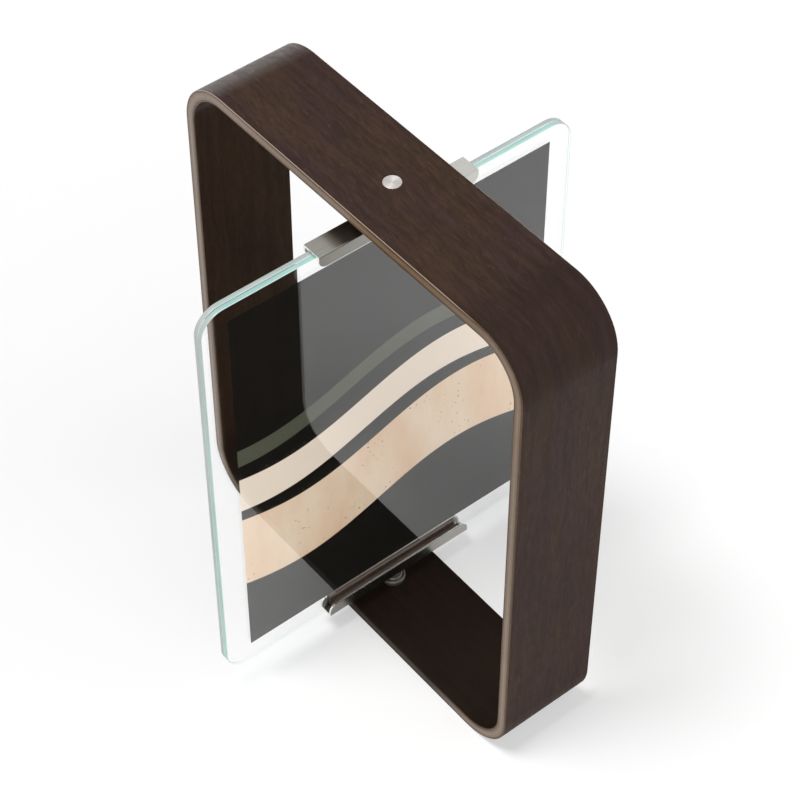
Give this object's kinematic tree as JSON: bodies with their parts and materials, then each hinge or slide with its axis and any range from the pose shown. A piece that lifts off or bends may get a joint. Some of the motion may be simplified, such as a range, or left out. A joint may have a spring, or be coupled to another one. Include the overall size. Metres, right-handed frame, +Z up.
{
  "type": "tabletop photo frame",
  "caption": "Tabletop photo frame: a bent laminated wooden loop stands on edge, with a print between two sheets of glass that turn inside it on an upright pivot.",
  "frame": {"origin": "on the surface that the frame stands on, in the middle of the loop, on the pivot axis", "axes": "+X across the loop towards its right side, +Y from the loop's front to its back, +Z up along the pivot axis; at rest the glass faces along +X"},
  "size_m": [0.261, 0.23, 0.3099],
  "materials": {
    "veneer": "satin",
    "core": "satin",
    "turned_metal": "brushed",
    "clip_metal": "polished",
    "liner": "matte",
    "glass": "clear",
    "print": "satin"
  },
  "bodies": {
    "loop": {"outer_ply": "veneer", "outer_core_ply": "core", "middle_ply": "core", "inner_core_ply": "core", "inner_ply": "veneer", "top_bush": "turned_metal", "bottom_bush": "turned_metal", "top_washer": "turned_metal", "bottom_washer": "turned_metal"},
    "carriage": {"top_pivot_pin": "turned_metal", "bottom_pivot_pin": "turned_metal", "top_spacer": "turned_metal", "bottom_spacer": "turned_metal", "top_clip": "clip_metal", "bottom_clip": "clip_metal", "top_liner": "liner", "bottom_liner": "liner"},
    "glass_pack": {"front_glass": "glass", "rear_glass": "glass", "print": "print"}
  },
  "joints": [
    {"name": "pane_spin", "type": "hinge", "parent": "loop", "child": "carriage", "pos_m": [0, 0, 0.155], "axis": [0, 0, 1], "continuous": true},
    {"name": "pack_slide", "type": "slide", "parent": "carriage", "child": "glass_pack", "axis": [0, 1, 0], "range_m": [-0.007, 0.01]}
  ]
}
